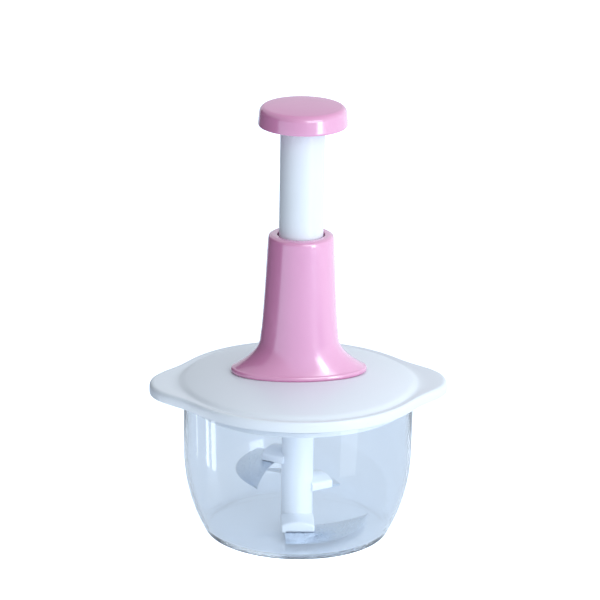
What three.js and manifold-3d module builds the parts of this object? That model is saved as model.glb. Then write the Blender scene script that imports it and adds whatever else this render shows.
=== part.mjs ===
// Plunger food chopper: a clear bowl, a white lid with two ears, a pink bell-shaped housing, and a knob
// on a tube. Pressing the knob pushes a twisted steel strip through a slotted nut, which turns the nut,
// a saw-tooth clutch, the output hub and the blade shaft. All lengths are millimetres, +Z is up, the
// ears lie along X, and the origin is the middle of the bowl's foot.

import * as THREE from 'three';
import Module from 'manifold-3d';
import { mergeVertices } from 'three/addons/utils/BufferGeometryUtils.js';

const wasm = await Module();
wasm.setup();

// Clearances and shared values
const seatGap = 0.3;
const slideGap = 0.3;
const cutOverrun = 2;
const farOverrun = 4;
const mergeDistance = 1e-4;
const screwRadius = 1.4;
const screwHeadRadius = 3;
const screwHeadHeight = 2.2;
const screwTipLength = 1.6;
const screwFaceRadius = 2.1;
const screwPostWall = 1.9;
const driverSlotWidth = 0.8;
const driverSlotDepth = 1;

// Bowl
const bowlRadius = 78.3;
const bowlRimFlare = 0.7;
const bowlHeight = 104;
const bowlFlankTop = 58;
const bowlFlankRadius = 116;
const bowlWall = 2.2;
const bowlFloor = 2.8;
const footRadius = 62.4;
const footRingWidth = 8;
const footRecess = 0.8;
const footCornerHeight = 2.2;
const floorCornerHeight = 3.6;
const pinBossRadius = 7;
const pinBossHeight = 1.2;

// Pivot pin
const pinRadius = 2.5;
const pinFlangeRadius = 4.4;
const pinFlangeHeight = 1.3;
const pinSocketDepth = 2.2;
const pinTop = 13.2;

// Lid
const lidRadius = 86.2;
const earLength = 16.1;
const earSpread = 18.3 * Math.PI / 180;
const earPower = 2.5;
const lidCreaseRadius = 82;
const lidRise = 11;
const lidDomeDrop = 7.9;
const lidDomePower = 3.5;
const lidWall = 2.4;
const lidEdgeRound = 2.4;
const lidUnderRound = 0.8;
const lidSkirtHeight = 7.6;
const lidSkirtWall = 2;
const lidSeatFloor = 2;
const lidSeatDepth = 1.2;
const plugGap = 1.5;
const plugWall = 2;
const plugDepth = 12.2;
const sealGrooveDepth = 0.9;
const sealHeight = 3;
const wellRadius = 18.4;
const wellWall = 2;

// Bell housing
const bellHalfLength = 46.6;
const bellHalfWidth = 25.5;
const bellTopRadius = 22.4;
const bellHeight = 98.1;
const bellWall = 2.2;
const bellLipThickness = 4.2;
const bellLipRound = 3.2;
const bellFlareHeight = 25.9;
const bellNeckHalfLength = 26.8;
const bellNeckHalfWidth = 23.4;
const bellTaperPower = 0.7;
const bellEdgeHeight = 2.6;
const bellEdgeRound = 1.5;
const bellScrewX = 28;
const bellScrewY = 8;
const bellScrewReach = 7.5;
const keyRibWidth = 2.4;
const keyRibReach = 16.6;

// Plunger
const tubeRadius = 15.1;
const tubeWall = 2.1;
const tubeFlangeRadius = 18.6;
const tubeFlangeHeight = 3;
const bushWall = 4;
const bushHeight = 15;
const bushCollarHeight = 2.5;
const plungerTravel = 70;
const knobRadius = 30.3;
const knobTopRadius = 29.6;
const knobHeight = 14.1;
const knobRimGap = 76.1;
const knobWall = 2.4;
const knobTopRound = 4.4;
const knobFlatRadius = 20;
const knobCrown = 0.8;
const knobSocketWall = 2.2;
const knobSocketRecess = 1.6;

// Twisted strip and its anchor
const stripWidth = 8.5;
const stripThickness = 2;
const stripLead = 40;
const stripTurnSign = -1;
const stripStepsPerTurn = 18;
const stripTabLength = 14;
const holderHeight = 15;
const anchorPinRadius = 1.5;

// Return spring
const springWireRadius = 0.75;
const springRadius = 11.3;
const springCurls = 12;
const springStepsPerCurl = 8;
const wireSides = 5;
const springSeatThickness = 1.2;

// Clutch and hub
const nutRadius = 11.8;
const nutHeight = 6.2;
const nutJournalRadius = 7.7;
const nutJournalHeight = 1.8;
const toothCount = 8;
const toothHeight = 1.2;
const toothInnerRadius = 7;
const toothFlank = 2 * Math.PI / 180;
const clutchTravel = 1.3;
const ratchetRadius = 13.3;
const ratchetBody = 2.7;
const ratchetBore = 5.6;
const ratchetKeyWidth = 3.4;
const ratchetKeyReach = 15.6;
const clutchSpringHeight = 2.7;
const clutchSpringWire = 0.35;
const clutchSpringRadius = 9.6;
const clutchSpringCurls = 1.5;
const clutchStepsPerCurl = 12;
const hubCupRadius = 17.4;
const hubCupFloor = 2.2;
const hubJournalRadius = 9.5;
const hubHexAcross = 13.4;
const hubHexLength = 9.6;
const washerThickness = 0.8;
const coverThickness = 2;
const coverRadius = 31;
const coverLipHeight = 1.6;
const coverScrewCircle = 25.5;
const coverScrewReach = 12;

// Blade unit
const shaftRadius = 11;
const shaftBoreRadius = 5.6;
const shaftFootGap = 1.5;
const shaftWeb = 2.2;
const armWidth = 23;
const armCrown = 5.4;
const armKeel = 3.4;
const armFlank = 5.2;
const bladeThickness = 1.2;
const bladeBevel = 2.4;
const bladeTipWidth = 0.8;
const bladeBack = 9;
const bladeTangStart = 14;
const bladePegRadius = 1.8;
const bladePegPlace = 17.6;
const bladePegHeadRadius = 3.1;
const bladePegHeadHeight = 0.8;

// Heights, azimuths and reaches of the three arms as the unit stands at rest, with their blades' outlines
const upperArm = {
  height: 50, azimuth: 147, reach: 22.5, root: 37, shoulder: 44, bend: 38, back: -0.5, tip: 58.4,
};
const middleArm = {
  height: 31, azimuth: 27, reach: 22.5, root: 30, shoulder: 40, bend: 28, back: 6, tip: 46,
};
const lowerArm = {
  height: 8.2, azimuth: -93, reach: 27.5, root: 47, shoulder: 50, bend: 40, back: 9, tip: 50.5,
};
const bladeHollow = 26;

// Facet counts
const roundSteps = 32;
const bowlSteps = 42;
const lidSteps = 44;
const tubeSteps = 28;
const smallSteps = 10;
const armCurveSteps = 6;

// Heights worked out from the sizes above
const lidTop = bowlHeight + lidRise;
const lidSeatHeight = lidTop - lidSeatDepth;
const lidPlateUnder = lidSeatHeight - lidSeatFloor;
const lidBandHeight = lidTop - lidDomeDrop;
const lidBottom = lidBandHeight - lidSkirtHeight;
const bellBottom = lidSeatHeight + seatGap;
const bellTop = bellBottom + bellHeight;
const bellFlareTop = bellBottom + bellFlareHeight;
const nutTop = lidPlateUnder - seatGap;
const nutBottom = nutTop - nutHeight;
const toothTop = nutBottom - seatGap;
const toothRoot = toothTop - toothHeight;
const ratchetBottom = toothRoot - ratchetBody;
const cupFloorTop = ratchetBottom - clutchSpringHeight - 2 * seatGap;
const hubFlangeBottom = cupFloorTop - hubCupFloor;
const washerBottom = hubFlangeBottom - seatGap - washerThickness;
const coverTop = washerBottom - seatGap;
const coverBottom = coverTop - coverThickness;
const wellBottom = coverTop + seatGap;
const hexTop = coverBottom - seatGap;
const hexBottom = hexTop - hubHexLength;
const shaftTop = hexTop - 2 * seatGap;
const shaftBottom = bowlFloor + shaftFootGap;
const bladeDrop = armKeel - bladeThickness / 2;
const knobRim = bellTop + knobRimGap;
const knobTop = knobRim + knobHeight;
const tubeTop = knobTop - knobCrown - 2 * knobWall;
const bushTop = bellTop - bellLipThickness - seatGap;
const bushBottom = bushTop - bushHeight;
const tubeBottom = bushBottom - bushCollarHeight - seatGap - tubeFlangeHeight;
const holderTop = tubeTop - seatGap;
const holderBottom = holderTop - holderHeight;
const stripTop = holderTop - knobWall;
const stripTabBottom = stripTop - stripTabLength;
const anchorHeight = stripTop - stripTabLength / 2;
const pinSocketFloor = bowlFloor + pinBossHeight - pinSocketDepth;
const webBottom = pinTop + seatGap;
const webTop = webBottom + shaftWeb;
const stripBottom = webTop + plungerTravel + stripThickness;
const tubeBore = tubeRadius - tubeWall;
const bushRadius = tubeRadius + slideGap + bushWall;
const bowlInnerRim = bowlRadius + bowlRimFlare - bowlWall;
const plugRadius = bowlInnerRim - plugGap;
const springSeatTop = lidSeatHeight + seatGap + springSeatThickness;

// Closed, outward-facing geometry with its shared corners merged.
function sealed(geometry) {
  const bare = new THREE.BufferGeometry();
  bare.setAttribute('position', geometry.getAttribute('position').clone());
  if (geometry.index) bare.setIndex(geometry.index.clone());
  const merged = mergeVertices(bare, mergeDistance);
  const place = merged.getAttribute('position');
  const corners = merged.index.array;
  const kept = [];
  let volume = 0;
  const a = new THREE.Vector3();
  const b = new THREE.Vector3();
  const c = new THREE.Vector3();
  for (let i = 0; i < corners.length; i += 3) {
    const [p, q, r] = [corners[i], corners[i + 1], corners[i + 2]];
    if (p === q || q === r || r === p) continue;
    a.fromBufferAttribute(place, p);
    b.fromBufferAttribute(place, q);
    c.fromBufferAttribute(place, r);
    volume += a.dot(b.cross(c)) / 6;
    kept.push(p, q, r);
  }
  if (volume < 0) {
    for (let i = 0; i < kept.length; i += 3) [kept[i], kept[i + 1]] = [kept[i + 1], kept[i]];
  }
  merged.setIndex(kept);
  return merged;
}

function solid(geometry) {
  const closed = sealed(geometry);
  const vertProperties = new Float32Array(closed.getAttribute('position').array);
  const triVerts = new Uint32Array(closed.index.array);
  return new wasm.Manifold(new wasm.Mesh({ numProp: 3, vertProperties, triVerts }));
}

function geometryOf(manifold) {
  const mesh = manifold.getMesh();
  const geometry = new THREE.BufferGeometry();
  geometry.setAttribute('position', new THREE.BufferAttribute(new Float32Array(mesh.vertProperties), 3));
  geometry.setIndex(new THREE.BufferAttribute(new Uint32Array(mesh.triVerts), 1));
  return geometry;
}

// A profile of [radius, height] points turned about Z. It starts and ends on the axis, or closes on itself.
function turned(profile, steps = roundSteps) {
  const points = profile.map(([r, z]) => new THREE.Vector2(r, z));
  return new THREE.LatheGeometry(points, steps).rotateX(Math.PI / 2);
}

// A ring of rectangular section.
function ring(inner, outer, bottom, top, steps = roundSteps) {
  return turned([[inner, bottom], [outer, bottom], [outer, top], [inner, top], [inner, bottom]], steps);
}

// A round bar that stands on the axis.
function bar(radius, bottom, top, steps = roundSteps) {
  return turned([[0, bottom], [radius, bottom], [radius, top], [0, top]], steps);
}

function block(sizeX, sizeY, bottom, top, x = 0, y = 0) {
  return new THREE.BoxGeometry(sizeX, sizeY, top - bottom).translate(x, y, (bottom + top) / 2);
}

function prism(shape, bottom, top, curveSegments) {
  const settings = { depth: top - bottom, bevelEnabled: false, curveSegments };
  return new THREE.ExtrudeGeometry(shape, settings).translate(0, 0, bottom);
}

// Turns a prism so that its shape's X, its shape's Y and its length lie along Y, Z and X.
function layOutward(geometry) {
  const [x, y, z] = [new THREE.Vector3(1, 0, 0), new THREE.Vector3(0, 1, 0), new THREE.Vector3(0, 0, 1)];
  return geometry.applyMatrix4(new THREE.Matrix4().makeBasis(y, z, x));
}

// Points on a circular arc in a profile, angles in degrees from the outward direction.
function arc(centreR, centreZ, radius, from, to, count) {
  const points = [];
  for (let i = 0; i <= count; i += 1) {
    const angle = THREE.MathUtils.degToRad(from + (to - from) * i / count);
    points.push([centreR + radius * Math.cos(angle), centreZ + radius * Math.sin(angle)]);
  }
  return points;
}

// A skin over rings of equal point counts. Looped rings join last to first, others get a fan at each
// end. The slant says which way each four-sided cell is split.
function skin(rings, looped, slant = 'forward') {
  const count = rings[0].length;
  const index = [];
  const lastRing = looped ? rings.length : rings.length - 1;
  for (let k = 0; k < lastRing; k += 1) {
    const here = k * count;
    const there = ((k + 1) % rings.length) * count;
    for (let j = 0; j < count; j += 1) {
      const next = (j + 1) % count;
      if (slant === 'forward') {
        index.push(here + j, here + next, there + next, here + j, there + next, there + j);
      } else {
        index.push(here + j, here + next, there + j, here + next, there + next, there + j);
      }
    }
  }
  if (!looped) {
    const end = (rings.length - 1) * count;
    for (let j = 1; j < count - 1; j += 1) {
      index.push(0, j + 1, j);
      index.push(end, end + j, end + j + 1);
    }
  }
  const geometry = new THREE.BufferGeometry();
  geometry.setAttribute('position', new THREE.Float32BufferAttribute(rings.flat(2), 3));
  geometry.setIndex(index);
  return geometry;
}

// Sections carried round the Z axis; sectionAt gives [x, y, z] points for an angle.
function carriedRound(sectionAt, angles) {
  return skin(angles.map(sectionAt), true);
}

function evenAngles(steps) {
  return Array.from({ length: steps }, (_, i) => 2 * Math.PI * i / steps);
}

// Angles that lie closer together near the ears, where the lid's outline bends most.
function earAngles(steps) {
  const crowdingShare = 0.18;
  return evenAngles(steps).map((angle) => angle - crowdingShare * Math.sin(2 * angle));
}

// A round wire wound about Z, from one height to another, as one open tube.
function coil(radius, wire, bottom, top, curls, stepsPerCurl, sides) {
  const rings = [];
  const centres = [];
  const steps = curls * stepsPerCurl;
  const low = bottom + wire;
  const climb = top - bottom - 2 * wire;
  for (let i = 0; i <= steps; i += 1) {
    const angle = 2 * Math.PI * i / stepsPerCurl;
    const height = low + climb * i / steps;
    const section = [];
    centres.push(new THREE.Vector3(radius * Math.cos(angle), radius * Math.sin(angle), height));
    for (let j = 0; j < sides; j += 1) {
      const turn = 2 * Math.PI * j / sides;
      const reach = radius + wire * Math.cos(turn);
      section.push([reach * Math.cos(angle), reach * Math.sin(angle), height + wire * Math.sin(turn)]);
    }
    rings.push(section);
  }
  let least = Infinity;
  centres.forEach((centre, i) => {
    for (const other of centres.slice(i + stepsPerCurl / 2)) {
      least = Math.min(least, centre.distanceTo(other));
    }
  });
  console.log(`least gap between curls: ${(least - 2 * wire).toFixed(2)} mm`);
  return skin(rings, false);
}

// A screw with a round slotted head at the bottom and its point upwards, as it is driven from below.
function screw(headBottom, reach) {
  const neck = headBottom + screwHeadHeight;
  const tip = neck + reach;
  const profile = [[0, headBottom], [screwFaceRadius, headBottom],
    [screwHeadRadius, headBottom + screwHeadHeight / 2], [screwHeadRadius, neck], [screwRadius, neck],
    [screwRadius, tip - screwTipLength], [0, tip]];
  const slot = block(4 * screwHeadRadius, driverSlotWidth, headBottom - cutOverrun,
    headBottom + driverSlotDepth);
  return geometryOf(solid(turned(profile, smallSteps)).subtract(solid(slot)));
}

// Bowl: an upright wall on a curved flank, a flat foot ring and a boss for the pivot pin
function bowl() {
  const centre = bowlRadius - bowlFlankRadius;
  const flankDrop = bowlFlankTop - footCornerHeight;
  const outerStart = -THREE.MathUtils.radToDeg(Math.asin(flankDrop / bowlFlankRadius));
  const innerFlank = bowlFlankRadius - bowlWall;
  const innerLow = bowlFloor + floorCornerHeight;
  const innerStart = -THREE.MathUtils.radToDeg(Math.asin((bowlFlankTop - innerLow) / innerFlank));
  const outer = arc(centre, bowlFlankTop, bowlFlankRadius, outerStart, 0, 5);
  const inner = arc(centre, bowlFlankTop, innerFlank, 0, innerStart, 4);
  const rim = bowlRadius + bowlRimFlare;
  const round = bowlWall / 2;
  const floorEdge = inner.at(-1)[0] - floorCornerHeight;
  const cornerShare = 0.3;
  const profile = [
    [0, footRecess],
    [footRadius - footRingWidth - footRecess, footRecess],
    [footRadius - footRingWidth, 0],
    [footRadius, 0],
    [THREE.MathUtils.lerp(outer[0][0], footRadius, cornerShare), footCornerHeight * cornerShare],
    ...outer,
    [rim, bowlHeight - round],
    [rim - round / 2, bowlHeight],
    [bowlInnerRim + round / 2, bowlHeight],
    [bowlInnerRim, bowlHeight - round],
    ...inner,
    [THREE.MathUtils.lerp(inner.at(-1)[0], floorEdge, cornerShare),
      bowlFloor + floorCornerHeight * cornerShare],
    [floorEdge, bowlFloor],
    [pinBossRadius, bowlFloor],
    [pinBossRadius, bowlFloor + pinBossHeight],
    [pinFlangeRadius + seatGap, bowlFloor + pinBossHeight],
    [pinFlangeRadius + seatGap, pinSocketFloor],
    [0, pinSocketFloor],
  ];
  return turned(profile, bowlSteps);
}

// Steel pin with a flange that is held in the bowl's boss and a domed tip that carries the blade unit
function pivotPin() {
  const low = pinSocketFloor + seatGap;
  const dome = arc(0, pinTop - pinRadius, pinRadius, 0, 90, 3).slice(0, -1);
  return turned([[0, low], [pinFlangeRadius, low], [pinFlangeRadius, low + pinFlangeHeight],
    [pinRadius, low + pinFlangeHeight], ...dome, [0, pinTop]], smallSteps);
}

// How far the lid's edge stands out beyond its circle at an angle: two smooth ears, along +X and -X.
function earAt(angle) {
  const turn = Math.abs(Math.atan2(Math.sin(angle), Math.cos(angle)));
  const fromEar = Math.min(turn, Math.PI - turn);
  return earLength * Math.exp(-((fromEar / earSpread) ** earPower));
}

function lidTopAt(radius) {
  return lidTop - lidDomeDrop * (radius / lidCreaseRadius) ** lidDomePower;
}

// Each row of the lid's section is [radius, height, share of the ear that it follows].
function lidSection() {
  const domeShares = [0.6, 0.78, 0.92];
  const dome = domeShares.map((share) => [share * lidCreaseRadius, lidTopAt(share * lidCreaseRadius), 0]);
  const edge = arc(lidRadius - lidEdgeRound, lidBandHeight - lidEdgeRound, lidEdgeRound, 90, 0, 2);
  const plateUnder = lidBandHeight - lidWall;
  const grooveTop = lidBottom - seatGap;
  const grooveBottom = grooveTop - sealHeight - 2 * seatGap;
  const plugBottom = plateUnder - plugDepth;
  const innerPlug = plugRadius - plugWall;
  const underShares = [0.78];
  const under = underShares.map((share) => [share * lidCreaseRadius,
    lidTopAt(share * lidCreaseRadius) - lidWall, 0]);
  const skirtInner = lidRadius - lidSkirtWall;
  return [
    [nutJournalRadius + slideGap, lidTop, 0],
    ...dome,
    [lidCreaseRadius, lidBandHeight, 0],
    ...edge.map(([r, z]) => [r, z, 1]),
    [lidRadius, lidBottom + lidUnderRound, 1],
    [lidRadius - lidUnderRound, lidBottom, 1],
    [skirtInner, lidBottom, 1],
    [skirtInner, plateUnder, 1],
    [plugRadius, plateUnder, 0],
    [plugRadius, grooveTop, 0],
    [plugRadius - sealGrooveDepth, grooveTop, 0],
    [plugRadius - sealGrooveDepth, grooveBottom, 0],
    [plugRadius, grooveBottom, 0],
    [plugRadius, plugBottom, 0],
    [innerPlug, plugBottom, 0],
    [innerPlug, lidTopAt(innerPlug) - lidWall, 0],
    ...under,
    [bellHalfLength, lidPlateUnder, 0],
    [nutJournalRadius + slideGap, lidPlateUnder, 0],
  ];
}

function ellipse(halfX, halfY) {
  return new THREE.Shape().absellipse(0, 0, halfX, halfY, 0, 2 * Math.PI);
}

function coverScrewPlaces() {
  return [90, 210, 330].map((degrees) => {
    const angle = THREE.MathUtils.degToRad(degrees);
    return [coverScrewCircle * Math.cos(angle), coverScrewCircle * Math.sin(angle)];
  });
}

function bellScrewPlaces() {
  return [[1, 1], [-1, 1], [-1, -1], [1, -1]].map(([sx, sy]) => [sx * bellScrewX, sy * bellScrewY]);
}

// Lid: a domed plate with a rim band, ears and skirt, a plug wall for the seal, a well for the hub
function lid() {
  const rows = lidSection();
  const sectionAt = (angle) => rows.map(([r, z, share]) => {
    const reach = r + share * earAt(angle);
    return [reach * Math.cos(angle), reach * Math.sin(angle), z];
  });
  let body = solid(carriedRound(sectionAt, earAngles(lidSteps)));
  const wallTop = lidPlateUnder + lidSeatFloor / 2;
  body = body.add(solid(ring(wellRadius, wellRadius + wellWall, wellBottom, wallTop)));
  const postRadius = screwRadius + screwPostWall;
  for (const [x, y] of coverScrewPlaces()) {
    const post = bar(postRadius, wellBottom, wallTop, smallSteps).translate(x, y, 0);
    const hole = bar(screwRadius + seatGap, wellBottom - cutOverrun,
      coverTop + coverScrewReach, smallSteps).translate(x, y, 0);
    body = body.add(solid(post)).subtract(solid(hole));
  }
  const seat = prism(ellipse(bellHalfLength + seatGap, bellHalfWidth + seatGap), lidSeatHeight,
    lidTop + cutOverrun, roundSteps);
  body = body.subtract(solid(seat));
  for (const [x, y] of bellScrewPlaces()) {
    const hole = bar(screwRadius + seatGap, lidPlateUnder - cutOverrun, lidTop, smallSteps);
    body = body.subtract(solid(hole.translate(x, y, 0)));
  }
  return geometryOf(body);
}

// Soft ring in the groove of the lid's plug wall
function lidSeal() {
  const top = lidBottom - 2 * seatGap;
  const bottom = top - sealHeight;
  const inner = plugRadius - sealGrooveDepth + seatGap;
  const outer = bowlInnerRim - seatGap;
  const lip = sealHeight / 4;
  return turned([[inner, bottom], [plugRadius + seatGap, bottom], [outer, bottom + lip], [outer, top - lip],
    [plugRadius + seatGap, top], [inner, top], [inner, bottom]], bowlSteps);
}

// Half length and half width of the bell's outside at a height. The neck tapers; below the flare's top
// the length spreads along a quarter ellipse to the flange, and the width spreads very little.
function bellSpreadAt(height) {
  if (height >= bellFlareTop) {
    const up = (height - bellFlareTop) / (bellTop - bellFlareTop);
    return [THREE.MathUtils.lerp(bellNeckHalfLength, bellTopRadius, up ** bellTaperPower),
      THREE.MathUtils.lerp(bellNeckHalfWidth, bellTopRadius, up ** bellTaperPower)];
  }
  const edgeTop = bellBottom + bellEdgeHeight;
  const down = Math.min(1, (bellFlareTop - height) / (bellFlareTop - edgeTop));
  const flare = 1 - Math.sqrt(1 - down ** 2);
  return [bellNeckHalfLength + (bellHalfLength - bellNeckHalfLength) * flare,
    bellNeckHalfWidth + (bellHalfWidth - bellNeckHalfWidth) * flare];
}

// Upright rib inside the bell that a notch in the tube's flange slides on, so that the tube can't turn
function keyRib() {
  const low = bellBottom + bellEdgeHeight;
  const top = bushBottom - bushCollarHeight - seatGap;
  const rib = new THREE.Shape();
  rib.moveTo(keyRibReach, low);
  for (const height of [low, (low + bellFlareTop) / 2, bellFlareTop, top]) {
    rib.lineTo(bellSpreadAt(height)[1] - bellWall / 2, height);
  }
  rib.lineTo(keyRibReach, top);
  rib.closePath();
  const plate = prism(rib, -keyRibWidth / 2, keyRibWidth / 2, 1);
  return layOutward(plate);
}

// Bell housing: a hollow oval flange that rises into a round neck with an inward lip at the top
function bellHousing() {
  const edgeTop = bellBottom + bellEdgeHeight;
  const flareShares = [0.92, 0.75, 0.45, 0];
  const flareHeights = flareShares.map((share) => THREE.MathUtils.lerp(bellFlareTop, edgeTop, share));
  const neckShares = [0.35, 0.7];
  const neckHeights = neckShares.map((share) => THREE.MathUtils.lerp(bellFlareTop, bellTop, share));
  const hole = tubeRadius + 3 * slideGap;
  const outside = [];
  outside.push([bellHalfLength, bellHalfWidth, bellBottom]);
  outside.push([bellHalfLength, bellHalfWidth, edgeTop - bellEdgeRound]);
  outside.push([bellHalfLength - bellEdgeRound / 2, bellHalfWidth - bellEdgeRound / 4, edgeTop]);
  for (const height of [...flareHeights, ...neckHeights]) {
    outside.push([...bellSpreadAt(height), height]);
  }
  const lip = arc(bellTopRadius - bellLipRound, bellTop - bellLipRound, bellLipRound, 0, 90, 2);
  for (const [r, z] of lip) outside.push([r, r, z]);
  const inside = [
    [hole + slideGap, hole + slideGap, bellTop],
    [hole, hole, bellTop - slideGap],
    [hole, hole, bellTop - bellLipThickness],
    [bushRadius + seatGap, bushRadius + seatGap, bellTop - bellLipThickness],
  ];
  for (const height of [bushBottom, ...[...flareHeights].reverse()]) {
    const [halfLength, halfWidth] = bellSpreadAt(height);
    const drop = height > bellFlareTop ? 0 : bellWall;
    inside.push([halfLength - bellWall, halfWidth - bellWall, height - drop]);
  }
  inside.push([bellHalfLength - bellWall, bellHalfWidth - bellWall, bellBottom]);
  const rows = [...outside, ...inside];
  const sectionAt = (angle) => rows.map(([a, b, z]) => [a * Math.cos(angle), b * Math.sin(angle), z]);
  let body = solid(carriedRound(sectionAt, evenAngles(roundSteps)));
  body = body.add(solid(keyRib())).add(solid(keyRib().rotateZ(Math.PI)));
  for (const [x, y] of bellScrewPlaces()) {
    const postTop = lidPlateUnder + bellScrewReach + bellWall;
    const post = bar(screwRadius + screwPostWall, bellBottom, postTop, smallSteps).translate(x, y, 0);
    const hole = bar(screwRadius + seatGap, bellBottom - cutOverrun, lidPlateUnder + bellScrewReach + seatGap,
      smallSteps).translate(x, y, 0);
    body = body.add(solid(post)).subtract(solid(hole));
  }
  return geometryOf(body);
}

// Bush in the bell's neck that guides the tube, with a collar under its lower end
function guideBush() {
  const bore = tubeRadius + slideGap;
  const low = bushBottom - bushCollarHeight;
  const collar = bushRadius - bushWall / 2;
  return turned([[bore, low], [collar, low], [collar, bushBottom], [bushRadius, bushBottom],
    [bushRadius, bushTop], [bore, bushTop], [bore, low]], tubeSteps);
}

// Tube with a stop flange at its foot and cross holes for the anchor pin at its head
function plungerTube() {
  const flangeTop = tubeBottom + tubeFlangeHeight;
  const tube = solid(turned([[tubeBore, tubeBottom], [tubeFlangeRadius, tubeBottom],
    [tubeFlangeRadius, flangeTop], [tubeRadius, flangeTop], [tubeRadius, tubeTop], [tubeBore, tubeTop],
    [tubeBore, tubeBottom]], tubeSteps));
  const notch = block(2 * tubeFlangeRadius + cutOverrun, keyRibWidth + 2 * slideGap,
    tubeBottom - cutOverrun, flangeTop + cutOverrun).rotateZ(Math.PI / 2);
  const kept = solid(bar(keyRibReach - slideGap, tubeBottom - farOverrun, flangeTop + farOverrun, tubeSteps));
  return geometryOf(tube.subtract(solid(notch).subtract(kept)).subtract(solid(anchorHole(seatGap))));
}

function anchorHole(clearance) {
  const reach = 2 * tubeRadius + farOverrun;
  const radius = anchorPinRadius + clearance;
  return new THREE.CylinderGeometry(radius, radius, reach, smallSteps).translate(0, 0, anchorHeight);
}

// Knob: a shallow hollow cap with a crowned top, and a socket underneath that holds the tube's head
function knob() {
  const shoulder = knobTop - knobCrown;
  const socketBore = tubeRadius + seatGap;
  const socketOuter = socketBore + knobSocketWall;
  const ceiling = shoulder - knobWall;
  const crownSlope = 82;
  const corner = arc(knobTopRadius - knobTopRound, shoulder - knobTopRound, knobTopRound, crownSlope, 0, 4);
  const rimRound = knobWall / 2;
  return turned([
    [0, knobTop],
    [knobFlatRadius, knobTop],
    ...corner,
    [knobRadius, knobRim + rimRound],
    [knobRadius - rimRound / 3, knobRim + rimRound / 3],
    [knobRadius - rimRound, knobRim],
    [knobRadius - knobWall, knobRim + rimRound / 2],
    [knobTopRadius - knobWall, ceiling - knobWall],
    [knobTopRadius - 2 * knobWall, ceiling],
    [socketOuter, ceiling],
    [socketOuter, knobRim + knobSocketRecess],
    [socketBore, knobRim + knobSocketRecess],
    [socketBore, tubeTop + seatGap],
    [0, tubeTop + seatGap],
  ], tubeSteps);
}

// Corners of the twisted strip's section at a height, starting at the middle of a flat side
function stripSectionAt(height, width, thickness) {
  const twist = stripTurnSign * 2 * Math.PI * Math.min(0, height - stripTabBottom) / stripLead;
  const [w, t] = [width / 2, thickness / 2];
  return [[0, t], [w, t], [w, -t], [0, -t], [-w, -t], [-w, t]].map(([x, y]) => [
    x * Math.cos(twist) - y * Math.sin(twist), x * Math.sin(twist) + y * Math.cos(twist), height]);
}

// The strip, or the cutter for its slot, between two heights. Cells of the strip hollow its sides a
// little and cells of the cutter swell them, so that the facets never touch while the strip turns.
function twistedBar(bottom, top, width, thickness, slant) {
  const pitch = stripLead / stripStepsPerTurn;
  const lowest = Math.ceil((bottom - stripTabBottom) / pitch);
  const highest = Math.min(0, Math.floor((top - stripTabBottom) / pitch));
  const heights = [bottom];
  for (let k = lowest; k <= highest; k += 1) heights.push(stripTabBottom + k * pitch);
  heights.push(top);
  const apart = heights.filter((z, i) => i === 0 || z - heights[i - 1] > mergeDistance);
  return skin(apart.map((z) => stripSectionAt(z, width, thickness)), false, slant);
}

// Steel strip, twisted along its whole length but for a flat tab with a pin hole at its head
function driveStrip() {
  const strip = twistedBar(stripBottom, stripTop, stripWidth, stripThickness, 'forward');
  return geometryOf(solid(strip).subtract(solid(anchorHole(seatGap))));
}

// Block in the tube's head with a slot for the strip's tab and a cross hole for the pin
function stripHolder() {
  const body = solid(bar(tubeBore - seatGap, holderBottom, holderTop, tubeSteps));
  const slot = block(stripWidth + 2 * seatGap, stripThickness + 2 * seatGap, holderBottom - cutOverrun,
    stripTop + seatGap);
  return geometryOf(body.subtract(solid(slot)).subtract(solid(anchorHole(seatGap))));
}

function anchorPin() {
  const length = 2 * tubeRadius - seatGap;
  return new THREE.CylinderGeometry(anchorPinRadius, anchorPinRadius, length, smallSteps)
    .translate(0, 0, anchorHeight);
}

function returnSpring() {
  return coil(springRadius, springWireRadius, springSeatTop + seatGap, holderBottom - seatGap, springCurls,
    springStepsPerCurl, wireSides);
}

function springSeat() {
  return ring(springRadius - 2 * springWireRadius - slideGap, springRadius + 2 * springWireRadius + slideGap,
    lidSeatHeight + seatGap, springSeatTop, tubeSteps);
}

// Height of the saw-tooth face at an angle, as a share of the tooth: a long ramp, then a steep flank
function toothSteps() {
  const pitch = 2 * Math.PI / toothCount;
  const rampShares = [0, 0.5, 1];
  const steps = [];
  for (let k = 0; k < toothCount; k += 1) {
    for (const share of rampShares) steps.push([k * pitch + share * (pitch - toothFlank), share]);
  }
  return steps;
}

// A ring with saw teeth on one face. The flat face is at one height and the teeth run from root to tip.
function toothedRing(inner, outer, flat, root, tip) {
  const rings = toothSteps().map(([angle, share]) => {
    const turn = stripTurnSign * angle;
    const height = THREE.MathUtils.lerp(root, tip, share);
    return [[inner, flat], [outer, flat], [outer, height], [inner, height]].map(([r, z]) => [
      r * Math.cos(turn), r * Math.sin(turn), z]);
  });
  return solid(skin(rings, true));
}

// Nut: a disc with saw teeth below, a journal above and a twisted slot for the strip
function driveNut() {
  const teeth = toothedRing(toothInnerRadius, nutRadius, nutBottom + toothHeight, toothRoot + seatGap,
    toothTop + seatGap);
  const body = solid(bar(nutRadius, nutBottom, nutTop, roundSteps));
  const journal = solid(bar(nutJournalRadius, nutTop - seatGap, nutTop + nutJournalHeight, tubeSteps));
  const slot = twistedBar(toothRoot - cutOverrun, nutTop + nutJournalHeight + cutOverrun,
    stripWidth + 2 * slideGap, stripThickness + 2 * slideGap, 'back');
  return geometryOf(body.add(teeth).add(journal).subtract(solid(slot)));
}

function ratchetKeys(width, reach, bottom, top) {
  const one = block(2 * reach, width, bottom, top);
  const other = block(width, 2 * reach, bottom, top);
  return solid(one).add(solid(other));
}

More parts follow.
